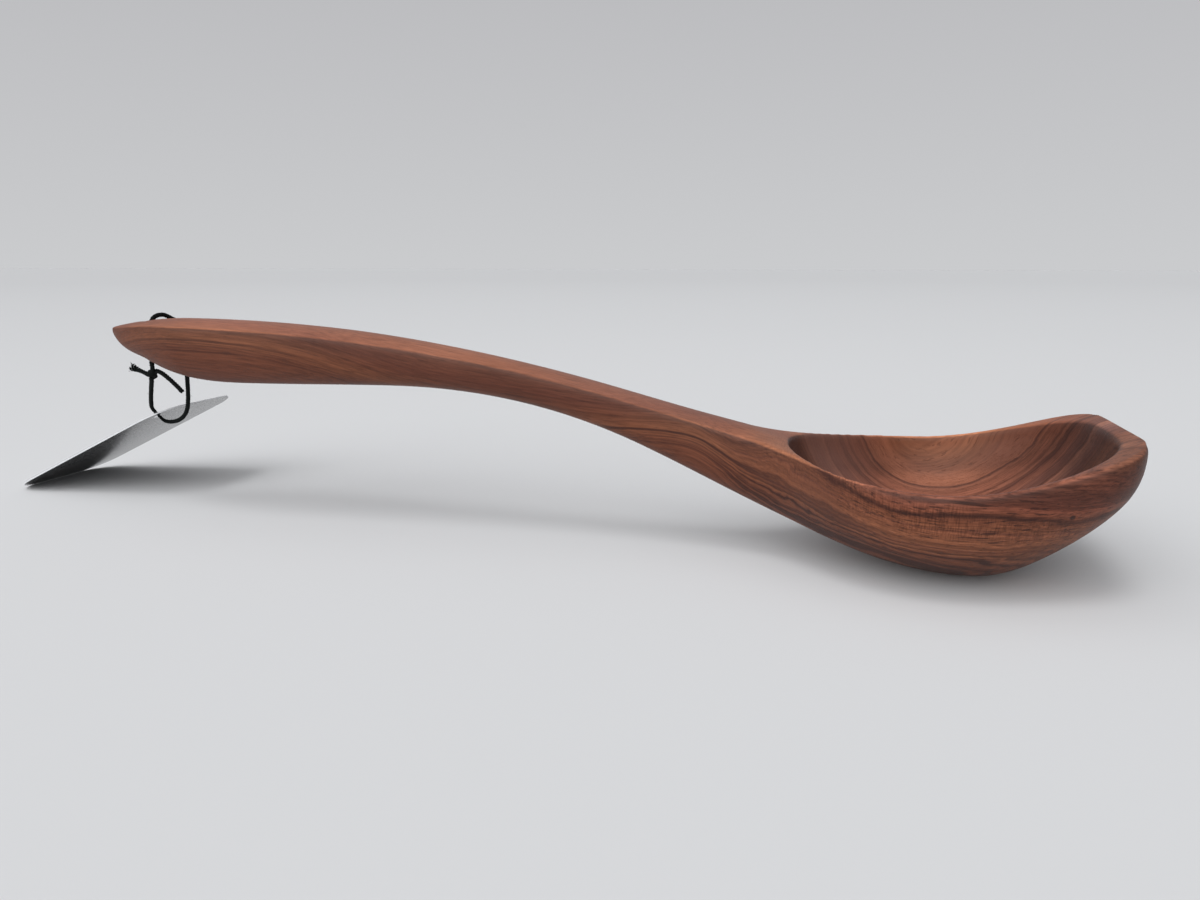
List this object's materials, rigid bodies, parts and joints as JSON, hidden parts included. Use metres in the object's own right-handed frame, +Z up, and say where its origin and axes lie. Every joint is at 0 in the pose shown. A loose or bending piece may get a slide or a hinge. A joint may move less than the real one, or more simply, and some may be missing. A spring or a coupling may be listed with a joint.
{
  "type": "wooden ladle",
  "caption": "Hand-carved wooden ladle with a deep oval bowl and a rising pointed handle, with a blank card tag hung by black twine from a hole in the handle.",
  "frame": {"origin": "on the surface that the bowl stands on, under the middle of the ladle's length, in its plane of symmetry", "axes": "+X along the ladle from the handle's tip to the bowl's front edge, +Y to the ladle's far side, where the card hangs, +Z up"},
  "size_m": [0.428, 0.1134, 0.077],
  "materials": {
    "walnut": "oiled satin",
    "black_twine": "matt twisted fibre",
    "pale_card": "smooth matt"
  },
  "bodies": {
    "ladle": {"ladle": "walnut", "cord_upper": "black_twine"},
    "cord": {"cord_loop": "black_twine", "cord_knot": "black_twine"},
    "tag": {"hang_tag": "pale_card"}
  },
  "joints": [
    {"name": "cord_swing", "type": "hinge", "parent": "ladle", "child": "cord", "pos_m": [-0.162, 0, 0.05838], "axis": [0.4055, 0.9097, -0.0901], "range_deg": [-15, 30]},
    {"name": "tag_swing", "type": "hinge", "parent": "cord", "child": "tag", "pos_m": [-0.1771, 0.0201, 0.0347], "axis": [0.0349, 0.9994, 0], "range_deg": [-25, 25]}
  ]
}
